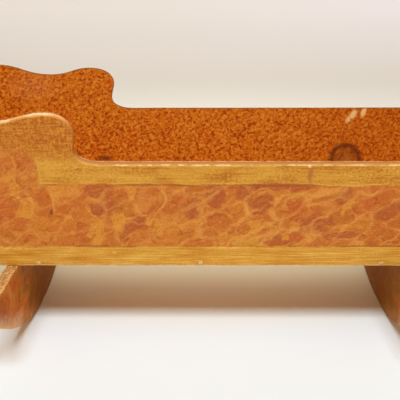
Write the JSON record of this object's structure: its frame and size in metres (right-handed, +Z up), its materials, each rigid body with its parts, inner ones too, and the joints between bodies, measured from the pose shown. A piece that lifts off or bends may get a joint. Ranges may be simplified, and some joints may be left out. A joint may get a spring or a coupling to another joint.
{
  "type": "doll cradle",
  "caption": "Small rocking cradle for a doll: splayed board box with scroll-sawn sides, a taller arched head end, and curved cross rockers underneath.",
  "frame": {"origin": "middle of the object on the surface it stands on, at the height of the rockers' lowest edges", "axes": "+Z up, +X from the head end to the foot end, +Y across to the back side board"},
  "size_m": [0.6317, 0.3892, 0.2818],
  "materials": {
    "paint_ochre": "satin",
    "paint_rust": "satin",
    "paint_brown": "satin",
    "wood_bare": "matte",
    "iron_dark": "matte"
  },
  "bodies": {
    "root": {"bottom_board": "wood_bare", "foot_board": "paint_rust", "head_board": "paint_rust", "nail_back_floor_1": "iron_dark", "nail_back_floor_2": "iron_dark", "nail_back_floor_3": "iron_dark", "nail_back_foot_1": "iron_dark", "nail_back_foot_2": "iron_dark", "nail_back_foot_3": "iron_dark", "nail_back_head_1": "iron_dark", "nail_back_head_2": "iron_dark", "nail_back_head_3": "iron_dark", "nail_back_head_4": "iron_dark", "nail_foot_floor_1": "iron_dark", "nail_foot_floor_2": "iron_dark", "nail_front_floor_1": "iron_dark", "nail_front_floor_2": "iron_dark", "nail_front_floor_3": "iron_dark", "nail_front_foot_1": "iron_dark", "nail_front_foot_2": "iron_dark", "nail_front_foot_3": "iron_dark", "nail_front_head_1": "iron_dark", "nail_front_head_2": "iron_dark", "nail_front_head_3": "iron_dark", "nail_front_head_4": "iron_dark", "nail_head_floor_1": "iron_dark", "nail_head_floor_2": "iron_dark", "nail_rocker_foot_1": "iron_dark", "nail_rocker_foot_2": "iron_dark", "nail_rocker_foot_3": "iron_dark", "nail_rocker_head_1": "iron_dark", "nail_rocker_head_2": "iron_dark", "nail_rocker_head_3": "iron_dark", "rocker_foot": "paint_brown", "rocker_head": "paint_brown", "side_board_back": "paint_ochre", "side_board_front": "paint_ochre"}
  },
  "joints": []
}
